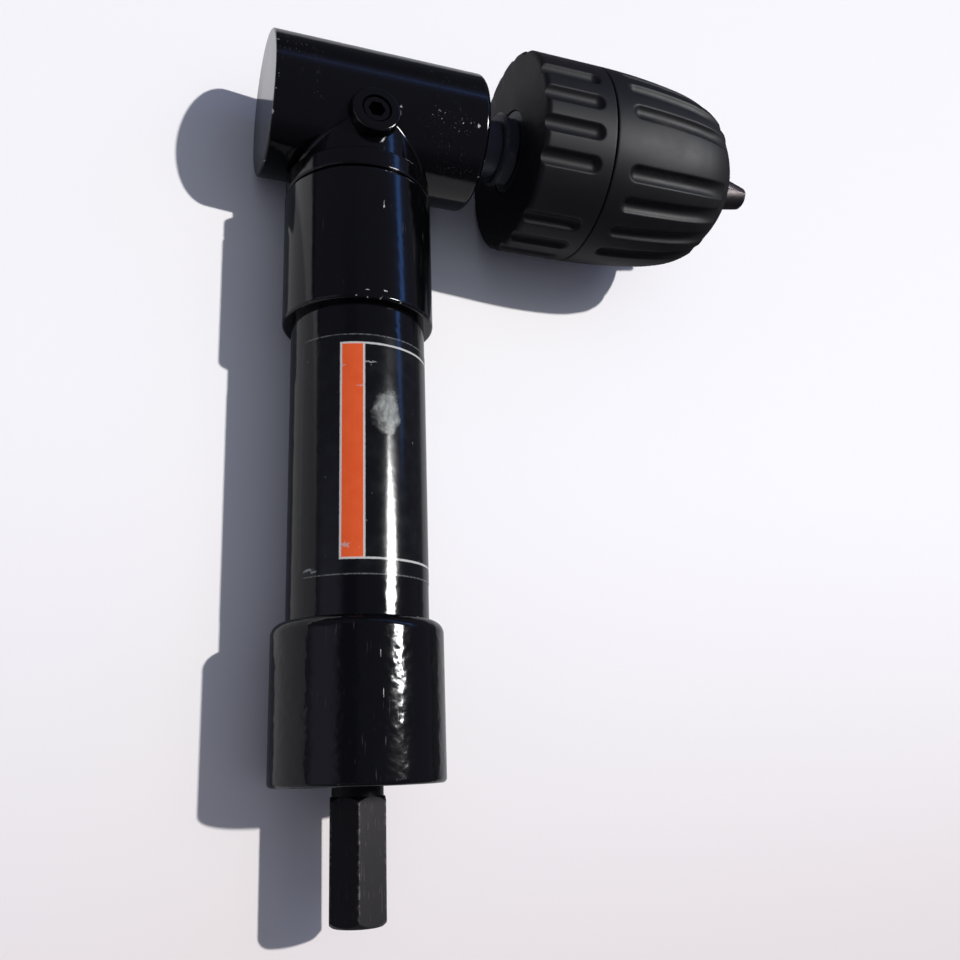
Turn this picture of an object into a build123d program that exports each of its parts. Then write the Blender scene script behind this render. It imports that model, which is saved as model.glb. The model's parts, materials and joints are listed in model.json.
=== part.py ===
"""Right-angle drill attachment: a bevel-gear head on a tube, with a hex shank and a keyless chuck.

Frame: the origin is the centre of the shank's free end. The input shaft runs along +Y,
the output spindle along +X, and +Z is the side of the boss with the grease plug.
Everything on the output axis is drawn about the X axis with x = 0 at the input shaft,
and moved to the head by on_output. Chuck stations are counted from the chuck's back.
"""
from build123d import *
from math import acos, cos, pi, radians, sin, sqrt, tan
import os

# Overall layout
head_reach = 156.5        # shank end to the output axis
running_gap = 0.03        # radial clearance of a shaft in its bush
face_gap = 0.10           # axial clearance between faces that turn against each other
blank_over = 0.05         # a turned blank stands this far off the corners of its hexagon

# Hex shank and input shaft
shank_flats = 9.525       # three-eighths of an inch across flats
shank_out = 22.6          # shank end to the end cap
shank_neck_show = 1.8     # round neck left between the hex and the end cap
shank_neck_cut = 0.25     # neck's surface below the flats
shank_end_d = 8.8         # flat of the crowned end
shank_end_crown = 1.1     # length of the crown at the free end
shank_top_crown = 1.0     # length of the crown at the neck
shank_corner = 18.0       # degrees about Y, from +X towards -Z, of one hex corner
shaft_d = 10.0
shaft_shoulder = 1.2      # height of the shoulder under the input bearing
shaft_lead = 0.4          # cap's outer face to the shoulder
pinion_seat_step = 1.8    # shaft's surface to the pinion's seat
shaft_tip_gap = 0.6       # shaft tip set back from the pinion's front

# End cap
cap_wall = 2.6            # cap around the tube
cap_length = 28.0
cap_floor = 2.5
cap_hole_clearance = 0.35
cap_shoulder_round = 2.2
cap_edge_round = 0.8
shaft_seal_length = 2.4

# Input ball bearing
ball_count = 7
ball_d = 4.76
bearing_width = 8.0
race_shoulder = 0.58      # ring's shoulder above the bottom of its track
ball_gap = 0.03
cage_wall = 1.3
cage_rim = 0.82           # cage beside a ball
shaft_clip_thickness = 1.2
shaft_clip_depth = 0.5
shaft_clip_width = 2.2

# Main tube and coupling sleeve
tube_d = 26.0
tube_wall = 2.5
coupling_wall = 1.75      # sleeve around the tube
coupling_length = 27.9
coupling_drop = 19.9      # top of the sleeve below the output axis
coupling_edge_round = 0.6
tube_seat = 14.0          # length of tube inside the sleeve
spigot_gap = 1.0          # space between the tube and the head's spigot

# Head: barrel, neck and boss
barrel_d = 29.0
barrel_wall = 2.5         # around the seat of the spindle's bearing and seal
barrel_step = 0.5         # from that seat in to the gears' bore
barrel_rear = 19.65       # rear face behind the input axis
barrel_front = 24.75      # front face ahead of the input axis
barrel_rear_round = 0.4
barrel_front_round = 1.0
neck_shoulder = 1.3       # neck's surface above the spigot
neck_flange_drop = 15.6   # top of the head's flange below the output axis
neck_flange_step = 0.15   # flange's surface below the coupling sleeve's
neck_flange_gap = 0.3     # between the coupling sleeve and the flange
neck_flange_round = 0.5
spigot_ledge = 1.3        # ledge inside the coupling sleeve, between the tube's end and the spigot
spigot_wall = 2.2
neck_blend = 0.8
boss_d = 9.9
boss_drop = 7.2           # boss axis below the output axis
boss_height = 15.3        # boss face above the shaft axes
boss_round = 0.5
plug_screw_d = 6.0
plug_screw_length = 4.6
plug_screw_socket = 3.0
plug_screw_socket_depth = 2.4
plug_screw_sunk = 0.25
plug_screw_chamfer = 0.4
rear_plug_thickness = 3.0
thrust_disc_thickness = 1.5

# Bevel gears, equal tooth numbers
gear_teeth = 17
gear_module = 1.0
gear_face = 3.4
gear_pressure_angle = 20.0
gear_backlash = 0.08      # taken off each tooth
gear_addendum = 1.0       # in modules
gear_dedendum = 1.2       # in modules
gear_hub_d = 14.4
gear_hub_overlap = 0.6    # hub into the toothed blank
gear_pin_d = 2.0
gear_pin_sunk = 0.2       # pin's ends below the hub's surface
pinion_mount = 16.0       # pinion's back face below the output axis
gear_mount = 13.5         # output gear's back face ahead of the input axis
thrust_washer_thickness = 1.0
gear_washer_rim = 1.5     # washer beyond the rollers' track
neck_bush_length = 14.0
pinion_clearance = 0.6    # head's pocket around the pinion's teeth
tail_bush_clearance = 0.8  # from the tail bush to the pinion
tail_play = 0.05

# Output spindle and its bearing
journal_d = 12.0
tail_step = 1.5           # journal's surface to the tail
tail_chamfer = 0.5
roller_d = 2.0
roller_count = 14
needle_bearing_length = 6.4
needle_lip = 0.6          # height of the ring's lips
needle_lip_width = 0.5
roller_cage_wall = 0.9
roller_cage_rim = 0.6
front_clip_thickness = 1.2
front_clip_depth = 0.8
front_clip_width = 2.4
clip_opening = 40.0       # degrees left open in a retaining ring
seal_sunk = 0.3
seal_lip = 0.7
seal_rim = 0.9
seal_dish = 0.7           # depth of the dish between lip and rim
collar_step = 1.9         # collar above the journal
collar_front = 31.6       # start of the wrench flats
collar_length = 1.0
collar_chamfer = 0.5
wrench_step = 1.0         # wrench flats above the journal
wrench_crown = 0.6
wrench_trim = 0.2         # turned off each corner
spindle_thread_d = 9.525
spindle_thread_length = 12.2
spindle_thread_chamfer = 1.0
wrench_corner = 127.0     # degrees about X, from +Y towards +Z, of one hex corner

# Chuck, stations counted from its back face
chuck_back = 34.1         # chuck's back face ahead of the input axis
chuck_d = 43.0
chuck_length = 50.9       # back face to nose, without the jaws
seam = 16.3               # rear sleeve to front sleeve
seam_gap = 0.25
sleeve_wall = 2.8
rear_floor = 2.0
rear_chamfer = 1.3
rear_hole_clearance = 0.2  # rear sleeve around the chuck body's hub
grip_length = 3.4         # rear sleeve's grip on the chuck body
dome_start = 23.7         # from the seam to the start of the nose dome
dome_drop = 1.95          # radius lost over that length
nose_d = 24.6
nose_clearance = 0.35     # front sleeve around the chuck body's nose
nose_band = 3.0           # smooth band at the nose
flute_steps = 20          # places for flutes around a sleeve
flute_group = 5           # each fifth place is left smooth
flute_width = 3.5
flute_depth = 1.15
rear_flute_stop = 2.9     # from the seam to the rear sleeve's flute ends
front_flute_start = 4.0   # from the seam to the front sleeve's flute ends
rear_smooth_at = 52.2     # degrees about X of a smooth place on the rear sleeve
front_smooth_at = 106.2   # degrees about X of a smooth place on the front sleeve

# Chuck body, jaws and nut
jaw_count = 3
jaw_angle = 15.0
jaw_d = 6.4
jaw_length = 36.0
jaw_proud = 11.0          # closed jaws ahead of the nose
jaw_tip_r = 2.3           # half the closed bundle at its tip
jaw_tip_crown = 0.5
jaw_gap = 0.03
jaw_travel = 18.4
jaw_phase = 35.0
body_hub_d = 17.6
body_back = 0.3
body_hub_length = 9.5
body_flange_drop = 4.5    # flange below the sleeves' surface
body_flange_back = 13.5
body_flange_front = 26.0
core_clearance = 0.3      # nut's bore around the body's core
nut_front_gap = 0.8       # nut to the front end of its groove
body_shoulder_step = 1.6  # flange's surface to the shoulder
body_shoulder_length = 3.3
body_nose_land = 1.9      # end of the taper to the sleeve's nose
body_nose_d = 19.6
body_nose_proud = 0.5
body_nose_chamfer = 0.5
body_thread_relief = 0.4  # thread's bore beyond the spindle's end
body_web = 2.0            # web that the chuck screw pulls on
bit_hole_d = 10.0
race_thickness = 1.5
race_rim_gap = 0.8        # race's rim inside the front sleeve
race_clearance = 0.3      # race's bore around the jaws
nut_length = 6.8
nut_split = 0.3           # gap between the nut's halves
shell_wall = 0.8
shell_lip = 0.7
sleeve_clearance = 0.8    # front sleeve's taper to the chuck body
screw_d = 5.0
screw_length = 10.0
screw_head_d = 8.6
screw_head_length = 3.0
screw_hole_clearance = 0.4
screw_end_gap = 1.0
screw_thread_gap = 0.05
screw_socket = 4.0
screw_socket_floor = 1.0


def about_y(*points):
    """Solid turned about the input axis from (radius, y) points."""
    return revolve(make_face(Polyline(*points, close=True)), Axis.Y)


def about_x(*points):
    """Solid turned about the X axis from (x, radius) points."""
    return revolve(make_face(Polyline(*points, close=True)), Axis.X)


def ring_y(outer_d, inner_d, start, end):
    """Plain ring about the input axis."""
    return about_y((inner_d / 2, start), (outer_d / 2, start), (outer_d / 2, end), (inner_d / 2, end))


def ring_x(outer_d, inner_d, start, end):
    """Plain ring about the X axis."""
    return about_x((start, inner_d / 2), (end, inner_d / 2), (end, outer_d / 2), (start, outer_d / 2))


def bar_y(diameter, start, end):
    """Round bar on the input axis."""
    return Plane((0, start, 0), x_dir=(1, 0, 0), z_dir=(0, 1, 0)) * Cylinder(
        diameter / 2, end - start, align=(Align.CENTER, Align.CENTER, Align.MIN))


def bar_x(diameter, start, end):
    """Round bar on the X axis."""
    return Plane((start, 0, 0), x_dir=(0, 1, 0), z_dir=(1, 0, 0)) * Cylinder(
        diameter / 2, end - start, align=(Align.CENTER, Align.CENTER, Align.MIN))


def crown_middle(start, end):
    """Middle of an arc between two (station, radius) points, with its centre on the turning axis."""
    (start_at, start_r), (end_at, end_r) = start, end
    centre = (end_r ** 2 - start_r ** 2 + end_at ** 2 - start_at ** 2) / (2 * (end_at - start_at))
    middle = (start_at + end_at) / 2
    return middle, sqrt(start_r ** 2 + (start_at - centre) ** 2 - (middle - centre) ** 2)


def crown_x(start, end):
    """Arc of a ball-shaped end, between two (x, radius) points."""
    return ThreePointArc(start, crown_middle(start, end), end)


def crown_y(start, end):
    """Arc of a ball-shaped end, between two (radius, y) points."""
    middle = crown_middle(start[::-1], end[::-1])
    return ThreePointArc(start, middle[::-1], end)


def hex_bar(flats, length, plane, corner):
    """Hexagonal bar from a plane, with one corner at an angle in that plane."""
    section = RegularPolygon(flats / 2, 6, major_radius=False, rotation=corner)
    return plane * extrude(section, length)


def round_rims(solid, axis, places, radius):
    """Round the outermost rim at each place along an axis."""
    for place in places:
        rims = solid.edges().filter_by(GeomType.CIRCLE)
        rims = rims.filter_by(lambda edge: abs(edge.center().dot(axis) - place) < 1e-4)
        solid = fillet(rims.sort_by(SortBy.RADIUS)[-1], radius)
    return solid


def on_output(solid):
    """Move a piece drawn about X to the output axis."""
    return Pos(0, head_reach, 0) * solid


def in_chuck(solid):
    """Move a piece drawn from the chuck's back face to its place."""
    return Pos(chuck_back, head_reach, 0) * solid


def around_x(solid, count, first=0.0):
    """Copies of a solid turned about the X axis."""
    return [Rot(first + 360 * k / count, 0, 0) * solid for k in range(count)]


# Places along the input axis
cap_start = shank_out
cap_inside = cap_start + cap_floor
bearing_start = cap_inside + shaft_seal_length
bearing_end = bearing_start + bearing_width
cap_end = cap_start + cap_length
coupling_end = head_reach - coupling_drop
coupling_start = coupling_end - coupling_length
tube_start = bearing_end
tube_end = coupling_start + tube_seat
spigot_start = tube_end + spigot_gap
flange_start = coupling_end + neck_flange_gap
flange_end = head_reach - neck_flange_drop
pinion_back = head_reach - pinion_mount
neck_bush_end = pinion_back - thrust_washer_thickness
neck_bush_start = neck_bush_end - neck_bush_length
hex_end = shank_out - shank_neck_show

# Diameters on the input axis
tube_inner_d = tube_d - 2 * tube_wall
cap_d = tube_d + 2 * cap_wall
coupling_d = tube_d + 2 * coupling_wall
spigot_d = tube_d - 2 * spigot_ledge
neck_d = spigot_d + 2 * neck_shoulder
neck_flange_d = coupling_d - 2 * neck_flange_step
neck_bore_d = spigot_d - 2 * spigot_wall
shank_neck_d = shank_flats - 2 * shank_neck_cut
shaft_collar_d = shaft_d + 2 * shaft_shoulder
shaft_bore_d = shaft_d + 2 * running_gap
pinion_seat_d = shaft_d - 2 * pinion_seat_step
race_wall = ((tube_d - shaft_d) / 2 - ball_d) / 2 + race_shoulder
ball_pitch_r = (shaft_d + tube_d) / 4
cage_width = ball_d + 2 * cage_rim
ball_middle = (bearing_start + bearing_end) / 2

# Places along the output axis
needle_start = gear_mount + thrust_washer_thickness
needle_end = needle_start + needle_bearing_length
front_clip_end = needle_end + front_clip_thickness
tail_end = -barrel_rear + rear_plug_thickness + thrust_disc_thickness

# Diameters on the output axis
front_seat_d = barrel_d - 2 * barrel_wall
barrel_bore_d = front_seat_d - 2 * barrel_step
tail_d = journal_d - 2 * tail_step
journal_bore_d = journal_d + 2 * running_gap
race_inner_d = journal_d + 2 * roller_d
gear_washer_d = race_inner_d + 2 * gear_washer_rim
collar_d = journal_d + 2 * collar_step
wrench_flats = journal_d + 2 * wrench_step
body_flange_d = chuck_d - 2 * body_flange_drop
body_shoulder_d = body_flange_d - 2 * body_shoulder_step
rear_hole_d = body_hub_d + 2 * rear_hole_clearance
nose_hole_d = body_nose_d + 2 * nose_clearance
thread_bore_length = spindle_thread_length + body_thread_relief

# The jaws' axes meet the chuck's axis at a shallow angle, running back and outwards from the tip
jaw_tip = chuck_length + jaw_proud
jaw_tip_axis_r = jaw_tip_r - jaw_d / 2 / cos(radians(jaw_angle))


def jaw_outer_r(station):
    """Radius of the jaws' outer side at a station of the chuck."""
    return jaw_tip_r + (jaw_tip - station) * tan(radians(jaw_angle))


# Places and diameters inside the chuck
nut_start = body_flange_front + race_thickness + face_gap
nut_end = nut_start + nut_length
nut_d = chuck_d - 2 * sleeve_wall - 2 * shell_wall
body_core_d = 2 * (jaw_outer_r(nut_end) + jaw_gap - core_clearance)
body_shoulder = nut_end + nut_front_gap
body_taper_start = body_shoulder + body_shoulder_length
body_taper_end = chuck_length - body_nose_land
race_outer_d = chuck_d - 2 * sleeve_wall - 2 * race_rim_gap

# Bevel gear geometry on the back cone
pitch_r = gear_teeth * gear_module / 2
cone_distance = pitch_r * sqrt(2)
front_scale = (cone_distance - gear_face) / cone_distance
tip_step = gear_addendum * gear_module / sqrt(2)
root_step = gear_dedendum * gear_module / sqrt(2)
pinion_tip_r = pitch_r + tip_step
tail_bush_end = -(pinion_tip_r + tail_bush_clearance)


def gear_outline(station):
    """Tooth outline of an equal bevel gear where its cone crosses a plane at this distance from the apex."""
    virtual_r = cone_distance
    base_r = virtual_r * cos(radians(gear_pressure_angle))

    def involute(radius):
        angle = acos(min(1.0, base_r / radius))
        return tan(angle) - angle

    half_tooth = (pi * gear_module / 2 - gear_backlash) / (2 * virtual_r) + involute(virtual_r)
    flank = []
    for step in (-gear_dedendum, -0.7, -0.2, 0.3, gear_addendum):
        height = step * gear_module
        radius = (pitch_r + height / sqrt(2)) / (pitch_r - height / sqrt(2)) * station
        angle = (half_tooth - involute(virtual_r + height)) * sqrt(2)
        flank.append((radius, angle))
    points = []
    for tooth in range(gear_teeth):
        middle = 2 * pi * tooth / gear_teeth
        for radius, angle in flank:
            points.append((radius * cos(middle - angle), radius * sin(middle - angle)))
        for radius, angle in reversed(flank):
            points.append((radius * cos(middle + angle), radius * sin(middle + angle)))
    return points


def bevel_gear(mount, bore_d):
    """Straight bevel gear about Z with its cone apex at the origin, tooth 0 on +X."""
    near = pitch_r * front_scale - tip_step
    far = pitch_r + root_step + blank_over
    sections = [Pos(0, 0, z) * make_face(Polyline(*gear_outline(z), close=True)) for z in (near, far)]
    teeth = loft(sections, ruled=True)
    hub_r = gear_hub_d / 2
    root_front = (pitch_r + root_step) * front_scale
    blank = revolve(
        Plane.XZ * make_face(Polyline(
            (bore_d / 2, root_front),
            ((pitch_r - root_step) * front_scale, root_front),
            (pinion_tip_r * front_scale, (pitch_r - tip_step) * front_scale),
            (pinion_tip_r, pitch_r - tip_step),
            (hub_r, 2 * pitch_r - hub_r),
            (bore_d / 2, 2 * pitch_r - hub_r),
            close=True)), Axis.Z)
    hub_front = 2 * pitch_r - hub_r - gear_hub_overlap
    hub = Pos(0, 0, hub_front) * Cylinder(
        hub_r, mount - hub_front, align=(Align.CENTER, Align.CENTER, Align.MIN))
    bore = Cylinder(bore_d / 2, mount, align=(Align.CENTER, Align.CENTER, Align.MIN))
    pin_at = (2 * pitch_r - hub_r + mount) / 2
    pin_hole = Pos(0, 0, pin_at) * Rot(90, 0, 0) * Cylinder(gear_pin_d / 2, 2 * gear_hub_d)
    return (teeth & blank) + hub - bore - pin_hole


def gear_pin(mount):
    """Cross pin of a bevel gear, in the gear's own frame."""
    pin_at = (2 * pitch_r - gear_hub_d / 2 + mount) / 2
    return Pos(0, 0, pin_at) * Rot(90, 0, 0) * Cylinder(gear_pin_d / 2, gear_hub_d - 2 * gear_pin_sunk)


pinion_place = Plane((0, head_reach, 0), x_dir=(1, 0, 0), z_dir=(0, -1, 0))
gear_place = Plane((0, head_reach, 0), x_dir=(0, -1, 0), z_dir=(1, 0, 0)) * Rot(0, 0, 180 / gear_teeth)


def make_input_shaft():
    """Hex shank, collar, shaft and pinion seat in one bar."""
    blank_r = shank_flats / sqrt(3) + blank_over
    end_crown = crown_y((shank_end_d / 2, 0), (blank_r, shank_end_crown))
    top_crown = crown_y((blank_r, hex_end - shank_top_crown), (shank_flats / 2, hex_end))
    side = Line(end_crown @ 1, top_crown @ 0)
    axis_side = Polyline(top_crown @ 1, (0, hex_end), (0, 0), end_crown @ 0)
    blank = revolve(make_face([end_crown, side, top_crown] + axis_side.edges()), Axis.Y)
    start = Plane((0, 0, 0), x_dir=(1, 0, 0), z_dir=(0, 1, 0))
    shank = hex_bar(shank_flats, hex_end, start, shank_corner) & blank
    tip = head_reach - pitch_r * front_scale - shaft_tip_gap
    collar_start = cap_start + shaft_lead
    bar = about_y(
        (0, hex_end), (shank_neck_d / 2, hex_end), (shank_neck_d / 2, collar_start),
        (shaft_collar_d / 2, collar_start), (shaft_collar_d / 2, bearing_start), (shaft_d / 2, bearing_start),
        (shaft_d / 2, bearing_end), (shaft_d / 2 - shaft_clip_depth, bearing_end),
        (shaft_d / 2 - shaft_clip_depth, bearing_end + shaft_clip_thickness),
        (shaft_d / 2, bearing_end + shaft_clip_thickness), (shaft_d / 2, pinion_back),
        (pinion_seat_d / 2, pinion_back), (pinion_seat_d / 2, tip), (0, tip))
    return shank + bar - pinion_place * gear_pin(pinion_mount)


def make_end_cap():
    """Cap round the tube's end, closed by a floor with a hole for the shaft."""
    hole_r = shaft_collar_d / 2 + cap_hole_clearance
    cap = about_y(
        (hole_r, cap_start), (cap_d / 2, cap_start), (cap_d / 2, cap_end), (tube_d / 2, cap_end),
        (tube_d / 2, cap_inside), (hole_r, cap_inside))
    cap = round_rims(cap, Vector(0, 1, 0), [cap_end], min(cap_shoulder_round, 0.9 * cap_wall))
    return round_rims(cap, Vector(0, 1, 0), [cap_start], cap_edge_round)


def make_shaft_seal():
    """Felt ring between the cap's floor and the bearing."""
    return ring_y(tube_d, shaft_collar_d + 2 * running_gap, cap_inside, bearing_start)


def ball_track():
    """Ring swept by the balls, with their clearance."""
    return revolve(Pos(ball_pitch_r, ball_middle, 0) * Circle(ball_d / 2 + ball_gap), Axis.Y)


def around_balls(solid):
    """Copies of a solid drawn at the centre of a ball."""
    at = Pos(ball_pitch_r, ball_middle, 0)
    return [Rot(0, 360 * k / ball_count, 0) * at * solid for k in range(ball_count)]


def make_ball_cage():
    """Band between the bearing rings with a round pocket for each ball."""
    cage = ring_y(
        2 * ball_pitch_r + cage_wall, 2 * ball_pitch_r - cage_wall,
        ball_middle - cage_width / 2, ball_middle + cage_width / 2)
    return cage - around_balls(Rot(0, 90, 0) * Cylinder(ball_d / 2 + ball_gap, 3 * cage_wall))


def make_shaft_clip():
    """External retaining ring in the shaft's groove."""
    groove_d = shaft_d - 2 * shaft_clip_depth
    clip = ring_y(groove_d + 2 * shaft_clip_width, groove_d, bearing_end, bearing_end + shaft_clip_thickness)
    mouth = Pos(0, bearing_end, -shaft_d / 2) * Box(
        groove_d * sin(radians(clip_opening)), 4 * shaft_clip_thickness, shaft_d)
    return clip - mouth


def make_coupling_sleeve():
    """Sleeve that holds the tube's end and the head's spigot in line."""
    sleeve = about_y(
        (tube_d / 2, coupling_start), (coupling_d / 2, coupling_start), (coupling_d / 2, coupling_end),
        (spigot_d / 2, coupling_end), (spigot_d / 2, tube_end), (tube_d / 2, tube_end))
    return round_rims(sleeve, Vector(0, 1, 0), [coupling_start, coupling_end], coupling_edge_round)


def make_head_housing():
    """Barrel, neck, flange, spigot and boss of the gear head, bored for the gears and bearings."""
    barrel = bar_x(barrel_d, -barrel_rear, barrel_front)
    barrel = round_rims(barrel, Vector(1, 0, 0), [-barrel_rear], barrel_rear_round)
    barrel = on_output(round_rims(barrel, Vector(1, 0, 0), [barrel_front], barrel_front_round))
    neck = bar_y(neck_d, flange_start, head_reach)
    body = barrel + neck
    saddle = body.edges().filter_by(lambda edge: edge.geom_type not in (GeomType.CIRCLE, GeomType.LINE))
    body = fillet(saddle, neck_blend)
    spigot = bar_y(spigot_d, spigot_start, flange_start)
    flange = round_rims(
        bar_y(neck_flange_d, flange_start, flange_end), Vector(0, 1, 0), [flange_start, flange_end],
        neck_flange_round)
    boss = Pos(0, head_reach - boss_drop, 0) * Cylinder(
        boss_d / 2, boss_height, align=(Align.CENTER, Align.CENTER, Align.MIN))
    boss = round_rims(boss, Vector(0, 0, 1), [boss_height], boss_round)
    body = body + spigot + flange + boss
    bore = bar_x(barrel_bore_d, -barrel_rear, needle_start)
    seat = bar_x(front_seat_d, needle_start, barrel_front)
    groove = bar_x(front_seat_d + 2 * front_clip_depth, needle_end, front_clip_end)
    neck_bore = bar_y(neck_bore_d, spigot_start, head_reach)
    pinion_pocket = bar_y(2 * (pinion_tip_r + pinion_clearance), neck_bush_end, head_reach)
    plug_hole = Pos(0, head_reach - boss_drop, 0) * Cylinder(
        plug_screw_d / 2, boss_height, align=(Align.CENTER, Align.CENTER, Align.MIN))
    return body - on_output(bore + seat + groove) - neck_bore - pinion_pocket - plug_hole


def make_grease_plug():
    """Hex-socket set screw that closes the grease hole in the boss."""
    top = boss_height - plug_screw_sunk
    screw = Pos(0, 0, top - plug_screw_length) * Cylinder(
        plug_screw_d / 2, plug_screw_length, align=(Align.CENTER, Align.CENTER, Align.MIN))
    screw = chamfer(screw.edges().group_by(Axis.Z)[-1], plug_screw_chamfer)
    socket_floor = Plane((0, 0, top - plug_screw_socket_depth))
    socket = hex_bar(plug_screw_socket, plug_screw_socket_depth, socket_floor, 0)
    return Pos(0, head_reach - boss_drop, 0) * (screw - socket)


def make_rear_plug():
    """Disc that closes the barrel flush with its rear face."""
    return on_output(bar_x(barrel_bore_d, -barrel_rear, rear_plug_thickness - barrel_rear))


def make_thrust_disc():
    """Hardened disc that the spindle's tail runs against."""
    return on_output(bar_x(barrel_bore_d, tail_end - thrust_disc_thickness, tail_end))


def make_tail_bush():
    """Bronze bush of the spindle's tail."""
    return on_output(ring_x(barrel_bore_d, tail_d + 2 * running_gap, tail_end, tail_bush_end))


def make_gear_washer():
    """Bronze washer between the output gear and the needle bearing."""
    return on_output(ring_x(gear_washer_d, journal_bore_d, gear_mount + face_gap, needle_start))


def make_pinion_washer():
    """Bronze washer between the pinion and the neck bush."""
    return ring_y(gear_hub_d, shaft_bore_d, neck_bush_end, pinion_back - face_gap)


def make_needle_ring():
    """Outer ring of the spindle's needle bearing, with a lip at each end."""
    lip_r = race_inner_d / 2 - needle_lip
    track_r = race_inner_d / 2 + ball_gap
    track_start = needle_start + needle_lip_width
    track_end = needle_end - needle_lip_width
    return on_output(about_x(
        (needle_start, lip_r), (track_start, lip_r), (track_start, track_r), (track_end, track_r),
        (track_end, lip_r), (needle_end, lip_r), (needle_end, front_seat_d / 2),
        (needle_start, front_seat_d / 2)))


def rollers(extra=0.0):
    """Needle rollers about X, grown by a clearance."""
    length = needle_bearing_length - 2 * (needle_lip_width + face_gap + roller_cage_rim) + 2 * extra
    radius = roller_d / 2 - ball_gap / 2 + extra
    at = Pos((needle_start + needle_end) / 2, (journal_d + roller_d) / 2 + ball_gap / 2, 0)
    return around_x(at * Rot(0, 90, 0) * Cylinder(radius, length), roller_count)


def make_roller_cage():
    """Band with a slot for each roller."""
    middle_d = journal_d + roller_d + ball_gap
    half = needle_bearing_length / 2 - needle_lip_width - face_gap
    middle = (needle_start + needle_end) / 2
    cage = ring_x(middle_d + roller_cage_wall, middle_d - roller_cage_wall, middle - half, middle + half)
    return on_output(cage - rollers(face_gap / 4))


def make_front_clip():
    """Internal retaining ring in the barrel's groove."""
    groove_d = front_seat_d + 2 * front_clip_depth
    clip = ring_x(groove_d, groove_d - 2 * front_clip_width, needle_end, front_clip_end)
    mouth = Pos(needle_end, -groove_d / 2, 0) * Box(
        4 * front_clip_thickness, groove_d / 2, groove_d * sin(radians(clip_opening / 2)))
    return on_output(clip - mouth)


def make_spindle_seal():
    """Rubber seal with a dished face between its lip and its rim."""
    end = barrel_front - seal_sunk
    inner_r = journal_bore_d / 2
    lip_r = inner_r + seal_lip
    rim_r = front_seat_d / 2 - seal_rim
    return on_output(about_x(
        (front_clip_end, inner_r), (end, inner_r), (end, lip_r), (end - seal_dish, lip_r + seal_dish),
        (end - seal_dish, rim_r - seal_dish), (end, rim_r), (end, front_seat_d / 2),
        (front_clip_end, front_seat_d / 2)))


def make_spindle():
    """Tail, gear seat, journal, wrench collar and chuck thread in one bar."""
    tail_start = tail_end + tail_play
    collar_back = collar_front - collar_length
    thread_end = chuck_back + spindle_thread_length
    turned = about_x(
        (tail_start, 0), (tail_start, tail_d / 2 - tail_chamfer), (tail_start + tail_chamfer, tail_d / 2),
        (gear_mount, tail_d / 2), (gear_mount, journal_d / 2), (collar_back, journal_d / 2),
        (collar_back, collar_d / 2 - collar_chamfer), (collar_back + collar_chamfer, collar_d / 2),
        (collar_front, collar_d / 2), (collar_front, journal_d / 2), (chuck_back, journal_d / 2),
        (chuck_back, spindle_thread_d / 2), (thread_end - spindle_thread_chamfer, spindle_thread_d / 2),
        (thread_end, spindle_thread_d / 2 - spindle_thread_chamfer), (thread_end, 0))
    corner_plane = Plane((collar_front, 0, 0), x_dir=(0, 1, 0), z_dir=(1, 0, 0))
    corner_r = wrench_flats / sqrt(3) - wrench_trim
    crown = crown_x((chuck_back - wrench_crown, corner_r), (chuck_back, wrench_flats / 2))
    outline = Polyline(crown @ 1, (chuck_back, 0), (collar_front, 0), (collar_front, corner_r), crown @ 0)
    blank = revolve(make_face([crown] + outline.edges()), Axis.X)
    hexagon = hex_bar(wrench_flats, chuck_back - collar_front, corner_plane, wrench_corner) & blank
    screw_hole = bar_x(screw_d, thread_end - screw_length, thread_end)
    return on_output(turned + hexagon - screw_hole) - gear_place * gear_pin(gear_mount)


def flutes(cutter, smooth_at):
    """Copies of a flute cutter at each place but the smooth ones."""
    step = 360 / flute_steps
    return [Rot(smooth_at + step * k, 0, 0) * cutter for k in range(flute_steps) if k % flute_group]


def make_rear_sleeve():
    """Rear sleeve: a cup that grips the chuck body, with flutes open at its back."""
    outer_r = chuck_d / 2
    inner_r = outer_r - sleeve_wall
    grip_r = body_flange_d / 2
    end = seam - seam_gap / 2
    cup = about_x(
        (0, rear_hole_d / 2), (0, outer_r - rear_chamfer), (rear_chamfer, outer_r), (end, outer_r),
        (end, grip_r), (end - grip_length, grip_r), (end - grip_length, inner_r), (rear_floor, inner_r),
        (rear_floor, rear_hole_d / 2))
    floor_r = outer_r - flute_depth
    stop = seam - rear_flute_stop - flute_width / 2
    face = Plane((0, floor_r, 0), x_dir=(1, 0, 0), z_dir=(0, 1, 0))
    slot = Pos(stop / 2 - 1, 0) * Rectangle(stop + 2, flute_width) + Pos(stop, 0) * Circle(flute_width / 2)
    cutter = face * extrude(slot, 2 * flute_depth)
    return in_chuck(cup - flutes(cutter, rear_smooth_at))


def dome_line(inset):
    """Outer line of the front sleeve, from the seam to the nose, moved inwards by an inset."""
    start = (seam + seam_gap / 2, chuck_d / 2 - inset)
    knee = (seam + dome_start, chuck_d / 2 - dome_drop - inset)
    tip = (chuck_length, nose_d / 2 - inset)
    long_arc = TangentArc(start, knee, tangent=(1, 0))
    return start, tip, [long_arc, TangentArc(knee, tip, tangent=long_arc % 1)]


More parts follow.
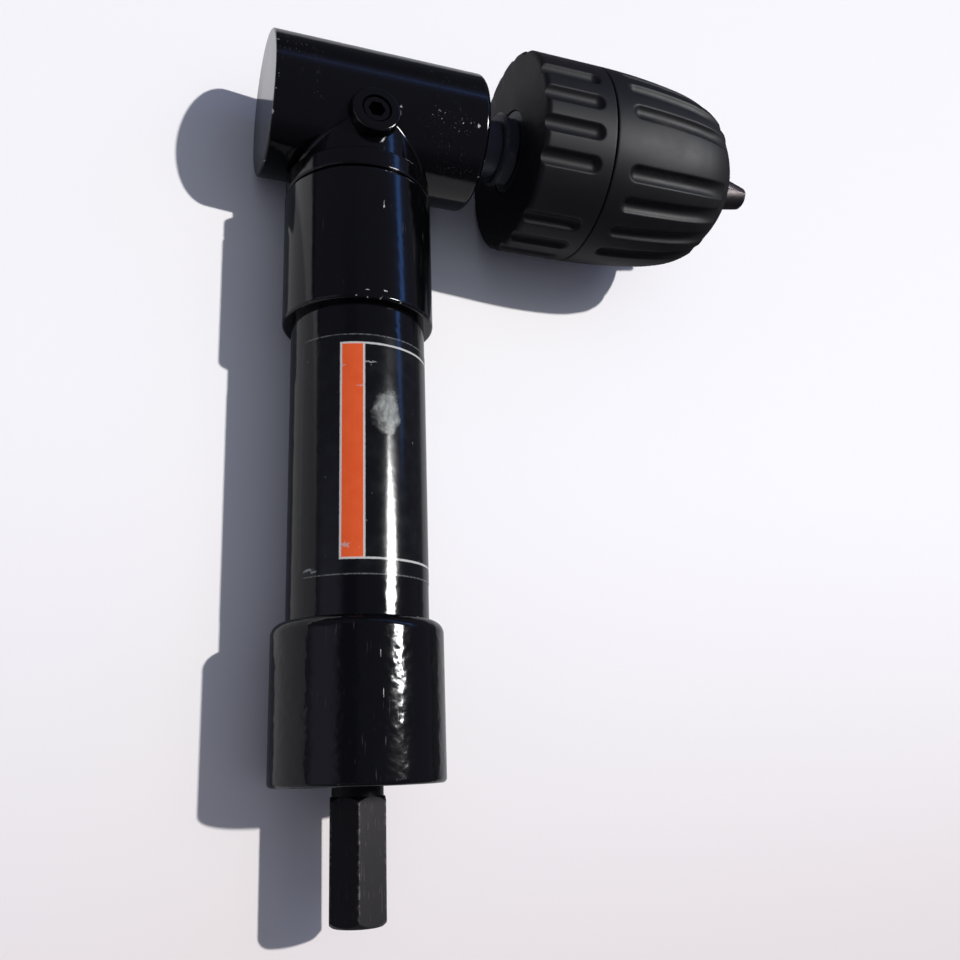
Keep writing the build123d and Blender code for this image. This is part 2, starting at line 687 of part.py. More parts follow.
def make_front_sleeve():
    """Front sleeve: a domed shell over the nut and the chuck's nose, fluted in groups of four."""
    start, tip, curves = dome_line(0)
    inner_r = chuck_d / 2 - sleeve_wall
    taper_r = body_shoulder_d / 2 + sleeve_clearance
    hole_r = nose_hole_d / 2
    inside = Polyline(
        tip, (chuck_length, hole_r), (body_taper_end + sleeve_clearance, hole_r),
        (body_taper_start + sleeve_clearance, taper_r), (body_shoulder + shell_lip, taper_r),
        (body_shoulder + shell_lip, inner_r), (start[0], inner_r), start)
    shell = revolve(make_face(curves + inside.edges()), Axis.X)
    floor_start, floor_tip, floor_curves = dome_line(flute_depth)
    over = Polyline(floor_tip, (chuck_length, chuck_d), (floor_start[0], chuck_d), floor_start)
    above_floor = revolve(make_face(floor_curves + over.edges()), Axis.X)
    first = seam + front_flute_start + flute_width / 2
    last = chuck_length - nose_band
    slot = Pos((first + last) / 2, 0) * Rectangle(last - first, flute_width)
    slot += Pos(first, 0) * Circle(flute_width / 2)
    prism = Plane((0, 0, 0), x_dir=(1, 0, 0), z_dir=(0, 1, 0)) * extrude(slot, chuck_d)
    return in_chuck(shell - flutes(prism & above_floor, front_smooth_at))


def jaw_bar(diameter, ahead, length):
    """Bar on a jaw's axis, from a point ahead of the tip, in the plane of the X and Y axes."""
    direction = Vector(-cos(radians(jaw_angle)), sin(radians(jaw_angle)), 0)
    start = Vector(jaw_tip, jaw_tip_axis_r, 0) - direction * ahead
    return Plane(start, x_dir=(0, 0, 1), z_dir=direction) * Cylinder(
        diameter / 2, length, align=(Align.CENTER, Align.CENTER, Align.MIN))


def make_jaw():
    """Jaw with two gripping faces that meet on the chuck's axis when closed."""
    reach = 3 * jaw_d
    gap = jaw_gap / sin(radians(180 / jaw_count))
    side = reach * tan(radians(180 / jaw_count))
    back = jaw_tip - 2 * jaw_length
    wedge = Plane((back, 0, 0), x_dir=(0, 1, 0), z_dir=(1, 0, 0)) * extrude(
        make_face(Polyline((gap, 0), (gap + reach, side), (gap + reach, -side), close=True)), 2 * jaw_length)
    crown_start = jaw_tip - jaw_tip_crown
    crown_r = jaw_outer_r(crown_start) + blank_over
    crown = crown_x((jaw_tip, jaw_tip_r - jaw_tip_crown), (crown_start, crown_r))
    outline = Polyline(crown @ 1, (crown_start, reach), (back, reach), (back, 0), (jaw_tip, 0), crown @ 0)
    tip = revolve(make_face([crown] + outline.edges()), Axis.X)
    return jaw_bar(jaw_d, jaw_d, jaw_d + jaw_length) & wedge & tip


def make_chuck_body():
    """Steel body with the spindle thread, the inclined jaw bores and the nut's groove."""
    nose_end = chuck_length + body_nose_proud
    body = about_x(
        (body_back, 0), (body_back, body_hub_d / 2), (body_hub_length, body_hub_d / 2),
        (body_flange_back, body_flange_d / 2), (body_flange_front, body_flange_d / 2),
        (body_flange_front, body_core_d / 2), (body_shoulder, body_core_d / 2),
        (body_shoulder, body_shoulder_d / 2), (body_taper_start, body_shoulder_d / 2),
        (body_taper_end, body_nose_d / 2), (nose_end - body_nose_chamfer, body_nose_d / 2),
        (nose_end, body_nose_d / 2 - body_nose_chamfer), (nose_end, 0))
    thread = bar_x(spindle_thread_d, body_back, thread_bore_length)
    web_end = thread_bore_length + body_web
    screw_way = bar_x(screw_d + 2 * screw_hole_clearance, thread_bore_length, web_end)
    bit_hole = bar_x(bit_hole_d, web_end, nose_end)
    bore = jaw_bar(jaw_d + 2 * jaw_gap, jaw_d, 2 * jaw_d + jaw_length + jaw_travel)
    body = body - thread - screw_way - bit_hole - around_x(bore, jaw_count, jaw_phase)
    return in_chuck(body)


def make_thrust_race():
    """Hardened ring that takes the nut's thrust."""
    start = body_flange_front
    bore_d = 2 * (jaw_outer_r(start) + race_clearance)
    return in_chuck(ring_x(race_outer_d, bore_d, start, start + race_thickness))


def make_split_nut():
    """Ring nut in two halves, coned inside to the slope of the jaws."""
    inner_start = jaw_outer_r(nut_start) + jaw_gap
    inner_end = jaw_outer_r(nut_end) + jaw_gap
    nut = about_x(
        (nut_start, inner_start), (nut_end, inner_end), (nut_end, nut_d / 2), (nut_start, nut_d / 2))
    cut = Box(4 * nut_length, nut_split, 2 * nut_d)
    return in_chuck(nut - Pos(nut_start, 0, 0) * cut)


def make_nut_shell():
    """Pressed steel cup that holds the nut halves together inside the front sleeve."""
    outer_r = chuck_d / 2 - sleeve_wall
    lip_end = nut_end + shell_lip
    return in_chuck(about_x(
        (nut_start, nut_d / 2), (nut_end, nut_d / 2), (nut_end, body_shoulder_d / 2 + sleeve_clearance),
        (lip_end, body_shoulder_d / 2 + sleeve_clearance), (lip_end, outer_r), (nut_start, outer_r)))


def make_chuck_screw():
    """Screw inside the chuck that locks its body on the spindle."""
    head_start = thread_bore_length + body_web
    screw_end = spindle_thread_length - screw_length + screw_end_gap
    shank = bar_x(screw_d - 2 * screw_thread_gap, screw_end, head_start)
    head = bar_x(screw_head_d, head_start, head_start + screw_head_length)
    socket_plane = Plane((head_start + screw_socket_floor, 0, 0), x_dir=(0, 1, 0), z_dir=(1, 0, 0))
    return in_chuck(shank + head - hex_bar(screw_socket, screw_head_length, socket_plane, 0))


def all_parts():
    """Every sub-part by name."""
    shaft_track = ball_track()
    inner_d = shaft_d + 2 * race_wall
    outer_d = tube_d - 2 * race_wall
    parts = {
        "head_housing": make_head_housing(),
        "rear_plug": make_rear_plug(),
        "grease_plug_screw": make_grease_plug(),
        "coupling_sleeve": make_coupling_sleeve(),
        "main_tube": ring_y(tube_d, tube_inner_d, tube_start, tube_end),
        "end_cap": make_end_cap(),
        "shaft_seal": make_shaft_seal(),
        "input_bearing_outer_ring": ring_y(tube_d, outer_d, bearing_start, bearing_end) - shaft_track,
        "input_bearing_inner_ring": ring_y(inner_d, shaft_d, bearing_start, bearing_end) - shaft_track,
        "input_bearing_balls": Compound(children=around_balls(Sphere(ball_d / 2))),
        "input_bearing_cage": make_ball_cage(),
        "shaft_clip": make_shaft_clip(),
        "input_shaft": make_input_shaft(),
        "neck_bush": ring_y(neck_bore_d, shaft_bore_d, neck_bush_start, neck_bush_end),
        "pinion_thrust_washer": make_pinion_washer(),
        "drive_pinion": pinion_place * bevel_gear(pinion_mount, pinion_seat_d),
        "pinion_pin": pinion_place * gear_pin(pinion_mount),
        "output_gear": gear_place * bevel_gear(gear_mount, tail_d),
        "output_gear_pin": gear_place * gear_pin(gear_mount),
        "output_spindle": make_spindle(),
        "spindle_thrust_disc": make_thrust_disc(),
        "spindle_tail_bush": make_tail_bush(),
        "gear_thrust_washer": make_gear_washer(),
        "needle_bearing_ring": make_needle_ring(),
        "needle_rollers": on_output(Compound(children=rollers())),
        "needle_cage": make_roller_cage(),
        "front_retaining_ring": make_front_clip(),
        "spindle_seal": make_spindle_seal(),
        "chuck_body": make_chuck_body(),
        "chuck_rear_sleeve": make_rear_sleeve(),
        "chuck_front_sleeve": make_front_sleeve(),
        "chuck_thrust_race": make_thrust_race(),
        "chuck_split_nut": make_split_nut(),
        "chuck_nut_shell": make_nut_shell(),
        "chuck_screw": make_chuck_screw(),
    }
    for index, jaw in enumerate(around_x(make_jaw(), jaw_count, jaw_phase)):
        parts[f"chuck_jaw_{index + 1}"] = in_chuck(jaw)
    return parts


os.makedirs("parts", exist_ok=True)
for name, solid in all_parts().items():
    export_step(solid, f"parts/{name}.step")
    print(name, [round(value, 2) for value in solid.bounding_box().size])
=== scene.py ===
"""Right-angle drill attachment: its finishes, its fluted chuck sleeves and decal, and the studio.

Millimetres are used throughout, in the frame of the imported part: the origin is the centre of the
shank's free end, +Y runs along the input shaft and +X along the output spindle. MM turns them
into Blender's metres. Colours are linear, and the heights of bumps are in millimetres.
"""
import json
from math import cos, hypot, pi, radians, sin, sqrt

import bpy
from mathutils import Matrix, Vector

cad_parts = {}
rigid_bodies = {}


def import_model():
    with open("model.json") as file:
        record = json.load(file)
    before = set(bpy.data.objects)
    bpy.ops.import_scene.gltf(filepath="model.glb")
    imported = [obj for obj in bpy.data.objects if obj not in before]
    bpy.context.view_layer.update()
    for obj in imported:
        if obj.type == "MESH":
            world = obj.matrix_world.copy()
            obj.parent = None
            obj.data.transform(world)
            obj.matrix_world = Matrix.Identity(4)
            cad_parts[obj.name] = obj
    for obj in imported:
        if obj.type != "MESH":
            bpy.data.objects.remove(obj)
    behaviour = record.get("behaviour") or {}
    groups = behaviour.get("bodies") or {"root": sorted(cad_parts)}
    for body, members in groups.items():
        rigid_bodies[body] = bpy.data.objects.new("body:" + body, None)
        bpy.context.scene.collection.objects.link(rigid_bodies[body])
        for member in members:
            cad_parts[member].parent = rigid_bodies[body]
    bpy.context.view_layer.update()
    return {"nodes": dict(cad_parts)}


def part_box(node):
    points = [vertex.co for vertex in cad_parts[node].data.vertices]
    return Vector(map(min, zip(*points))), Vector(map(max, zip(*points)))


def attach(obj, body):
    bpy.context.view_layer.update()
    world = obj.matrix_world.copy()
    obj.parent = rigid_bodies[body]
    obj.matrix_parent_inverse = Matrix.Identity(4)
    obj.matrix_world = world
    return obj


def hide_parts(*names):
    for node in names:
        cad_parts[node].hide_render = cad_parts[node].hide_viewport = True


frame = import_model()
MM = 0.001


def box_mm(node):
    """Lowest and highest corner of a CAD node in millimetres."""
    low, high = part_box(node)
    return low / MM, high / MM


# Sizes read from the frame
spindle_low, spindle_high = box_mm("output_spindle")
head_low, head_high = box_mm("head_housing")
cap_low, cap_high = box_mm("end_cap")
coupling_low, coupling_high = box_mm("coupling_sleeve")
rear_low, rear_high = box_mm("chuck_rear_sleeve")
front_low, front_high = box_mm("chuck_front_sleeve")
tube_high = box_mm("main_tube")[1]

head_y = (spindle_low.y + spindle_high.y) / 2
barrel_r = head_high.y - head_y
tube_r = tube_high.x
cap_r = cap_high.x
coupling_r = coupling_high.x
chuck_r = rear_high.z

# Enamelled body, repeated from the part's source where the frame can't give it
flange_drop = 15.6        # top of the head's flange below the output axis
flange_r = 14.6
rear_plug_r = 11.5
cap_shoulder = 1.5        # middle of the cap's round shoulder, inside its outer surface
shank_edge_r = 5.42       # just inside the shank's corners
collar_edge_r = 7.75      # just inside the spindle collar's corners

# Chuck sleeves, repeated from the part's source where the frame can't give them
sleeve_columns = 640      # points around a sleeve
flute_steps = 20          # places for flutes around a sleeve
flute_group = 5           # each fifth place is left smooth
flute_width = 3.5
flute_depth = 1.15
edge_softness = 0.16      # of the flutes' edges
softness_cutoff = 0.004   # softening that is left out beside a flute
sleeve_wall = 2.8
rear_smooth_at = 52.2     # degrees about X, from +Y towards +Z
rear_flute_end = 2.8      # from the rear sleeve's front edge
rear_round = 1.2          # rear sleeve's back corner
rear_edge_round = 0.25
rear_floor = 2.0
rear_hole_r = 9.0
front_smooth_at = 106.2
front_flute_start = 4.0   # from the front sleeve's rear edge
flute_fade = 7.0          # length over which the front flutes fade towards the nose band
front_edge_round = 0.3
dome_start = 23.7         # from the front sleeve's rear edge
dome_drop = 1.95          # radius lost over that length
dome_trim = 0.25          # dome's nose below the arcs
dome_trim_from = 20.0
dome_trim_run = 6.0
nose_band = 3.9           # smooth band at the nose
nose_step = 0.80          # nose band below the dome
nose_r = 12.3
nose_fine = 4.0           # length with finer steps at the nose
nose_lip = 0.4            # rounding and chamfer at the nose
nose_hole_r = 10.15
nose_wall = 1.5           # nose's thickness around its hole
shell_bore_r = 16.2       # bore behind the dome
shell_bore_from = 15.5    # behind the nose
shell_bore_to = 12.0
crease_angle = 50         # degrees; a steeper edge is sharp

# Decal, measured along the tube and around it from +Z towards +X
film_start = 57.4
film_end = 102.2
film_from = -66.0
film_to = 118.0
film_thickness = 0.06
film_corner = 1.2
bar_from = -27.6
bar_to = -9.2
frame_start = 60.3
frame_end = 100.4
frame_to = 104.0
frame_line = 0.38
stain_around = 9.5
stain_along = 88.0
stain_half_width = 2.5
stain_half_length = 3.7
tube_degree = radians(1) * tube_r  # millimetres per degree around the tube

# Wear
film_scratches = [        # degrees around, place along the tube, half height, how many times wider
    (-4.5, 96.7, 0.22, 6),
    (-12.5, 92.0, 0.16, 4),
    (-23.8, 62.6, 0.55, 1.4),
    (-56.0, 58.7, 0.30, 4),
    (-50.0, 58.3, 0.22, 3),
    (-26.0, 96.0, 0.15, 3)]
barrel_chips = [          # place along the barrel, degrees from +Y to +Z, radius, times longer
    (3.8, 110, 0.32, 1),
    (5.4, 108, 0.26, 1),
    (4.1, 113, 0.22, 2),
    (21.9, 111, 0.36, 1)]
# Fine nicks on the barrel, painted pale with the glint their scuffs catch in the light: a painted
# glint
barrel_nicks_glinting = [          # place along the barrel, degrees from +Y to +Z, radius
    (13.0, 109, 2.2),
    (18.5, 112, 2.3),
    (-11.0, 112, 1.1)]
coupling_chips = [        # place along the tube, degrees from +Z to +X, radius, times longer
    (128.5, 5.4, 0.14, 6),
    (110.3, -7.0, 0.38, 0.35),
    (110.5, 6.6, 0.46, 0.35)]
cap_chips = [             # the same for the end cap
    (43.9, 0.0, 0.06, 9),
    (37.4, 1.6, 0.07, 9)]
dust_ahead = 13.0         # dusty spot's place from the front sleeve's rear edge
dust_y = 150.2
dust_z = 20.4
dust_reach = 12.0
dust_core = 2.0
rough_nose_from = 11.0    # rougher plastic, behind the nose
rough_nose_to = 2.0

# Camera, fitted to the photograph as a square picture
camera_at = (-44.44, 25.75, 176.33)
camera_target = (24.85, 79.68, 0.0)
camera_roll = -1.97       # degrees
camera_lens = 37.17
camera_sensor = 36.0

# Light and table
lit_point = (4, 50, 14)
sun_at = (3028, 1262, 5054)
card_at = (966, 336, 1127)
card_roll = -22.0         # degrees
fill_at = (10, 80, 1200)
table_reach = 6000
table_centre = (40, 90)
backdrop_from = 320       # from the table's centre
backdrop_to = 1000
sky_across = (-0.178, -0.571, 0.8015)  # across the band of blue sky


# Shader language

class Value:
    """A shader socket; Python's operators on it add Math nodes."""

    def __init__(self, paint, socket):
        self.paint = paint
        self.socket = socket

    def __add__(self, other):
        return self.paint.math("ADD", self, other)

    def __sub__(self, other):
        return self.paint.math("SUBTRACT", self, other)

    def __rsub__(self, other):
        return self.paint.math("SUBTRACT", other, self)

    def __mul__(self, other):
        return self.paint.math("MULTIPLY", self, other)

    def __truediv__(self, other):
        return self.paint.math("DIVIDE", self, other)

    def __abs__(self):
        return self.paint.math("ABSOLUTE", self)

    __radd__ = __add__
    __rmul__ = __mul__


class Paint:
    """A shader under construction, in the node tree of a material or the world."""

    def __init__(self, owner, shader):
        owner.use_nodes = True
        self.owner = owner
        self.tree = owner.node_tree
        self.shader = self.tree.nodes[shader]

    def feed(self, socket, value):
        """Give a socket a link or a plain value."""
        if isinstance(value, Value):
            self.tree.links.new(value.socket, socket)
        elif socket.type == "RGBA" and len(value) == 3:
            socket.default_value = (*value, 1.0)
        else:
            socket.default_value = value

    def set(self, socket, value):
        """Give one of the shader's own sockets a link or a plain value."""
        self.feed(self.shader.inputs[socket], value)

    def node(self, kind, settings, inputs, output=0):
        """Add a node: its settings first, then its sockets; the result is one of its outputs."""
        node = self.tree.nodes.new(kind)
        for key, value in settings.items():
            setattr(node, key, value)
        for key, value in inputs.items():
            self.feed(node.inputs[key], value)
        return Value(self, node.outputs[output])

    def math(self, operation, *values):
        """Result of a Math node."""
        return self.node("ShaderNodeMath", {"operation": operation}, dict(enumerate(values)))

    def place(self):
        """The point on the surface, in millimetres."""
        point = self.node("ShaderNodeTexCoord", {}, {}, "Object")
        return self.stretch(point, (1 / MM, 1 / MM, 1 / MM))

    def stretch(self, vector, factors):
        """A vector scaled along each axis."""
        return self.node("ShaderNodeVectorMath", {"operation": "MULTIPLY"}, {0: vector, 1: factors})

    def split(self, vector):
        """The three numbers of a vector."""
        node = self.node("ShaderNodeSeparateXYZ", {}, {0: vector}).socket.node
        return [Value(self, socket) for socket in node.outputs]

    def length(self, *values):
        """Square root of the sum of squares."""
        total = values[0] * values[0]
        for value in values[1:]:
            total = total + value * value
        return self.math("SQRT", total)

    def largest(self, *values):
        """The largest of several values."""
        result = values[0]
        for value in values[1:]:
            result = self.math("MAXIMUM", result, value)
        return result

    def step(self, value, low, high):
        """0 below low, 1 above high, and smooth between; high may be the lower one."""
        return self.node("ShaderNodeMapRange", {"interpolation_type": "SMOOTHSTEP"}, {
            "Value": value, "From Min": low, "From Max": high})

    def band(self, value, low, high, edge):
        """1 between two limits and 0 outside them, smooth over an edge on either side."""
        rise = self.step(value, low - edge, low + edge)
        return rise * self.step(value, high + edge, high - edge)

    def mix(self, factor, one, other):
        """Colour that goes from one to the other."""
        return self.node("ShaderNodeMix", {"data_type": "RGBA"}, {0: factor, 6: one, 7: other}, 2)

    def noise(self, vector, scale, detail=3.0, rough=0.55):
        """Cloudy noise between 0 and 1; the scale is per millimetre."""
        return self.node("ShaderNodeTexNoise", {}, {
            "Vector": vector, "Scale": scale, "Detail": detail, "Roughness": rough})

    def cells(self, vector, scale):
        """Distance to the nearest of many scattered points; the scale is per millimetre."""
        return self.node("ShaderNodeTexVoronoi", {"feature": "F1"}, {
            "Vector": vector, "Scale": scale})

    def bump(self, height, distance, strength=1.0, under=None):
        """Surface normal from a height in units of a distance in millimetres."""
        inputs = {"Height": height, "Distance": distance * MM, "Strength": strength}
        if under:
            inputs["Normal"] = under
        return self.node("ShaderNodeBump", {}, inputs)

    def ray(self, kind):
        """1 for rays of one kind, such as "Is Camera Ray"."""
        return self.node("ShaderNodeLightPath", {}, {}, kind)


def new_paint(name, **surface):
    """Paint of a new material, with plain values for some of its surface's sockets."""
    paint = Paint(bpy.data.materials.new(name), "Principled BSDF")
    for socket, value in surface.items():
        paint.set(socket.replace("_", " "), value)
    return paint


# Finishes

def rim_distance(paint, point, axis, at, radius):
    """Distance to a round rim about the input axis (y) or the output axis (x)."""
    x, y, z = point
    if axis == "x":
        return paint.length(x - at, paint.length(y - head_y, z) - radius)
    return paint.length(y - at, paint.length(x, z) - radius)


def bare_and_glinting_spots(paint, place, rims, chips, nicked_and_glinting):
    """Mask of the places where a coat is worn through to the metal, and of areas of fine nicks
    painted pale as a painted glint.
    """
    x, y, z = paint.split(place)
    worn = paint.noise(place, 0.9, 4.0, 0.6)
    flaked = paint.noise(place, 0.55, 2.0)
    ragged = paint.noise(place, 2.6, 3.0, 0.6)
    masks = []
    for axis, at, radius, width in rims:
        near = paint.step(rim_distance(paint, (x, y, z), axis, at, radius), width, 0.1)
        masks.append(near * paint.step(worn, 0.60, 0.66) * paint.step(flaked, 0.52, 0.60))
    for (chip_x, chip_y, chip_z), radius, longer in chips:
        away = paint.length(x - chip_x, (y - chip_y) / longer, z - chip_z)
        masks.append(paint.step(away + (ragged - 0.5) * (4.0 * radius), radius, 0.5 * radius))
    # areas of fine nicks, painted pale as the glint they catch in the light: a painted glint
    for (area_x, area_y, area_z), radius in nicked_and_glinting:
        away = paint.length((x - area_x) * 0.5, y - area_y, z - area_z)
        nick_glints = paint.step(paint.noise(place, 2.1, 2.0, 0.6), 0.65, 0.71)
        masks.append(paint.step(away, radius, 0.3 * radius) * nick_glints * 0.7)
    return paint.largest(0.0, *masks)


def black_enamel(name, rims, wave, chips, nicked_and_glinting):
    """Gloss black enamel with flow waves, hairline scuffs and dust, worn through in places, and
    with a painted glint on areas of fine nicks.

    rims are worn round edges, each with its axis, place, radius and worn width. wave is the height
    of the flow waves. chips are small bare spots, each with its point, its radius, and how many
    times longer it is along the tube. nicked are the points and radii of areas of fine nicks.
    """
    black = (0.0014, 0.0015, 0.0020)
    dusty = (0.09, 0.09, 0.095)
    # pale colour of bare metal, also used for the painted glint on nicked areas
    pale_bare_and_glint = (0.46, 0.45, 0.44)
    paint = new_paint(name, IOR=1.5)
    place = paint.place()
    bare_and_glint = bare_and_glinting_spots(paint, place, rims, chips, nicked_and_glinting)
    hairs = paint.noise(paint.stretch(place, (3.2, 0.22, 3.2)), 1.0, 2.0, 0.5)
    patch = paint.noise(place, 0.10, 3.0, 0.5)
    scuff = paint.step(hairs, 0.64, 0.72) * paint.step(patch, 0.52, 0.66)
    specks = paint.step(paint.noise(place, 2.4, 1.0), 0.75, 0.79) * paint.step(patch, 0.55, 0.66)
    dirt = paint.largest(scuff * 0.40, specks * 0.22)
    haze = paint.noise(place, 0.16, 4.0, 0.6)
    paint.set("Base Color", paint.mix(bare_and_glint, paint.mix(dirt, black, dusty), pale_bare_and_glint))
    paint.set("Roughness", paint.largest(0.05 + 0.11 * haze + 0.30 * dirt, bare_and_glint * 0.5))
    waves = paint.bump(paint.noise(place, 0.48, 1.5, 0.5), wave)
    grit = paint.noise(place, 3.0, 2.0, 0.6)
    paint.set("Normal", paint.bump(grit - bare_and_glint * 2.0, 0.0016, 1.0, waves))
    return paint.owner


def black_plastic(name):
    """Satin moulded plastic with fine grain, rubbed patches and pale dust, rougher at the nose."""
    black = (0.0050, 0.0048, 0.0064)
    dusty = (0.105, 0.098, 0.092)
    paint = new_paint(name, IOR=1.37)
    place = paint.place()
    x, y, z = paint.split(place)
    cloud = paint.noise(place, 0.12, 5.0, 0.62)
    fine = paint.noise(place, 1.6, 4.0, 0.6)
    away = paint.length(x - (front_low.x + dust_ahead), y - dust_y, z - dust_z)
    spot = paint.step(away, dust_reach, dust_core)
    dust = paint.step(cloud * 0.6 + fine * 0.3 + spot * 0.22, 0.50, 0.80)
    crumbs = paint.step(paint.cells(place, 0.9), 0.11, 0.04) * paint.step(cloud, 0.5, 0.62)
    pale = paint.largest(dust * 0.22, crumbs * 0.25)
    nose = paint.step(x, front_high.x - rough_nose_from, front_high.x - rough_nose_to)
    paint.set("Base Color", paint.mix(pale, black, dusty))
    paint.set("Roughness", 0.44 + 0.14 * cloud + 0.25 * pale + 0.18 * nose)
    paint.set("Normal", paint.bump(paint.noise(place, 5.0, 3.0, 0.7), 0.010, 0.6))
    return paint.owner


def black_oxide(name, axis, edge_r, colour, rough):
    """Black oxide steel turned about an axis, rubbed to brown-grey where its edges stand out."""
    rubbed = (0.23, 0.21, 0.20)
    paint = new_paint(name, Metallic=0.85)
    place = paint.place()
    x, y, z = paint.split(place)
    radius = paint.length(x, z) if axis == "y" else paint.length(y - head_y, z)
    lay = (4.0, 0.3, 4.0) if axis == "y" else (0.3, 4.0, 4.0)
    cloud = paint.noise(place, 0.35, 4.0, 0.6)
    edges = paint.step(radius + 0.25 * cloud, edge_r, edge_r + 0.22)
    streak = paint.noise(paint.stretch(place, lay), 0.9, 3.0)
    fleck = paint.step(streak, 0.62, 0.74)
    worn = paint.step(paint.noise(place, 1.4, 4.0, 0.6), 0.46, 0.62)
    pale = paint.largest(edges * worn * 0.40, fleck * 0.16)
    paint.set("Base Color", paint.mix(pale, colour, rubbed))
    paint.set("Roughness", rough + 0.16 * cloud + 0.05 * fleck)
    paint.set("Normal", paint.bump(streak, 0.006, 0.7))
    return paint.owner


def steel(name, colour, rough, lay):
    """Machined steel with fine lines along a lay direction."""
    dark = tuple(0.55 * part for part in colour)
    paint = new_paint(name, Metallic=1.0)
    place = paint.place()
    lines = paint.noise(paint.stretch(place, lay), 1.0, 3.0, 0.6)
    stain = paint.noise(place, 0.30, 4.0, 0.6)
    paint.set("Base Color", paint.mix(paint.step(stain, 0.40, 0.75), colour, dark))
    paint.set("Roughness", rough + 0.16 * stain)
    paint.set("Normal", paint.bump(lines, 0.004, 0.8))
    return paint.owner


def bronze(name):
    """Sintered bronze with darker pores."""
    dark = (0.16, 0.09, 0.04)
    golden = (0.50, 0.29, 0.12)
    paint = new_paint(name, Metallic=1.0)
    place = paint.place()
    pores = paint.cells(place, 3.0)
    paint.set("Base Color", paint.mix(paint.step(pores, 0.05, 0.30), dark, golden))
    paint.set("Roughness", 0.32 + 0.15 * paint.noise(place, 0.5))
    paint.set("Normal", paint.bump(pores, 0.01, 0.5))
    return paint.owner


def rubber(name, colour):
    """Dull rubber or plastic with a fine grain."""
    pale = tuple(3.0 * part for part in colour)
    paint = new_paint(name)
    place = paint.place()
    cloud = paint.noise(place, 0.4, 4.0)
    paint.set("Base Color", paint.mix(paint.step(cloud, 0.45, 0.85), colour, pale))
    paint.set("Roughness", 0.55 + 0.2 * cloud)
    paint.set("Normal", paint.bump(paint.noise(place, 4.0), 0.01, 0.6))
    return paint.owner


def felt(name):
    """Oily grey felt."""
    oily = (0.03, 0.028, 0.025)
    grey = (0.14, 0.13, 0.12)
    paint = new_paint(name, Roughness=0.95)
    fibres = paint.noise(paint.stretch(paint.place(), (1.0, 4.0, 1.0)), 2.0, 5.0, 0.7)
    paint.set("Base Color", paint.mix(paint.step(fibres, 0.3, 0.7), oily, grey))
    paint.set("Normal", paint.bump(fibres, 0.12, 0.8))
    return paint.owner


def film_print(paint, place, around, y):
    """Masks of the film's thin printed frame and of its bar."""
    line = frame_line / 2
    line_turn = line / tube_degree
    edge = 0.05
    edge_turn = edge / tube_degree
    fray = (paint.noise(place, 2.2, 2.0) - 0.5) * 0.12
    along = y + fray
    turn = around + fray / tube_degree
    rows = [paint.band(along, at - line, at + line, edge) for at in (frame_start, frame_end)]
    columns = [paint.band(turn, at - line_turn, at + line_turn, edge_turn)
               for at in (bar_from, bar_to, frame_to)]
    frame_width = paint.band(turn, bar_from, frame_to, edge_turn)
    frame_length = paint.band(along, frame_start - line, frame_end + line, edge)
    lines = paint.largest(paint.largest(*rows) * frame_width,
                          paint.largest(*columns) * frame_length)
    bar_length = paint.band(along, frame_start, frame_end, edge)
    return lines, bar_length * paint.band(turn, bar_from, bar_to, edge_turn)


def film_wear(paint, place, around, y):
    """Masks of the film's scratches and of its worn rim."""
    scratch = paint.noise(paint.stretch(place, (1.2, 0.5, 1.2)), 1.3, 4.0, 0.65)
    ragged = paint.noise(place, 2.2, 4.0, 0.65)
    scratches = [paint.step(scratch, 0.70, 0.75)]
    for turned, at, size, wide in film_scratches:
        away = paint.length((around - turned) * (tube_degree / wide), y - at)
        scratches.append(paint.step(away + (ragged - 0.5) * (4.5 * size), size, 0.4 * size))
    ends = paint.largest(paint.step(y, film_start + 0.30, film_start + 0.18),
                         paint.step(y, film_end - 0.30, film_end - 0.18))
    sides = paint.largest(paint.step(around, film_from + 1.6, film_from + 1.0),
                          paint.step(around, film_to - 1.6, film_to - 1.0))
    rim = paint.largest(ends, sides * 0.25) * paint.step(ragged, 0.30, 0.60)
    return paint.largest(*scratches), rim


def film_stain(paint, place, around, y, cloud):
    """Masks of the smeared stain on the film and of how thick it lies."""
    away = paint.length((around - stain_around) * (tube_degree / stain_half_width),
                        (y - stain_along) / stain_half_length)
    stain = paint.step(away + (cloud - 0.5) * 1.8, 1.25, 0.50)
    smear = paint.noise(paint.stretch(place, (1.0, 0.5, 1.0)), 0.9, 3.0)
    return stain, 0.25 + 0.75 * paint.step(smear, 0.40, 0.68)


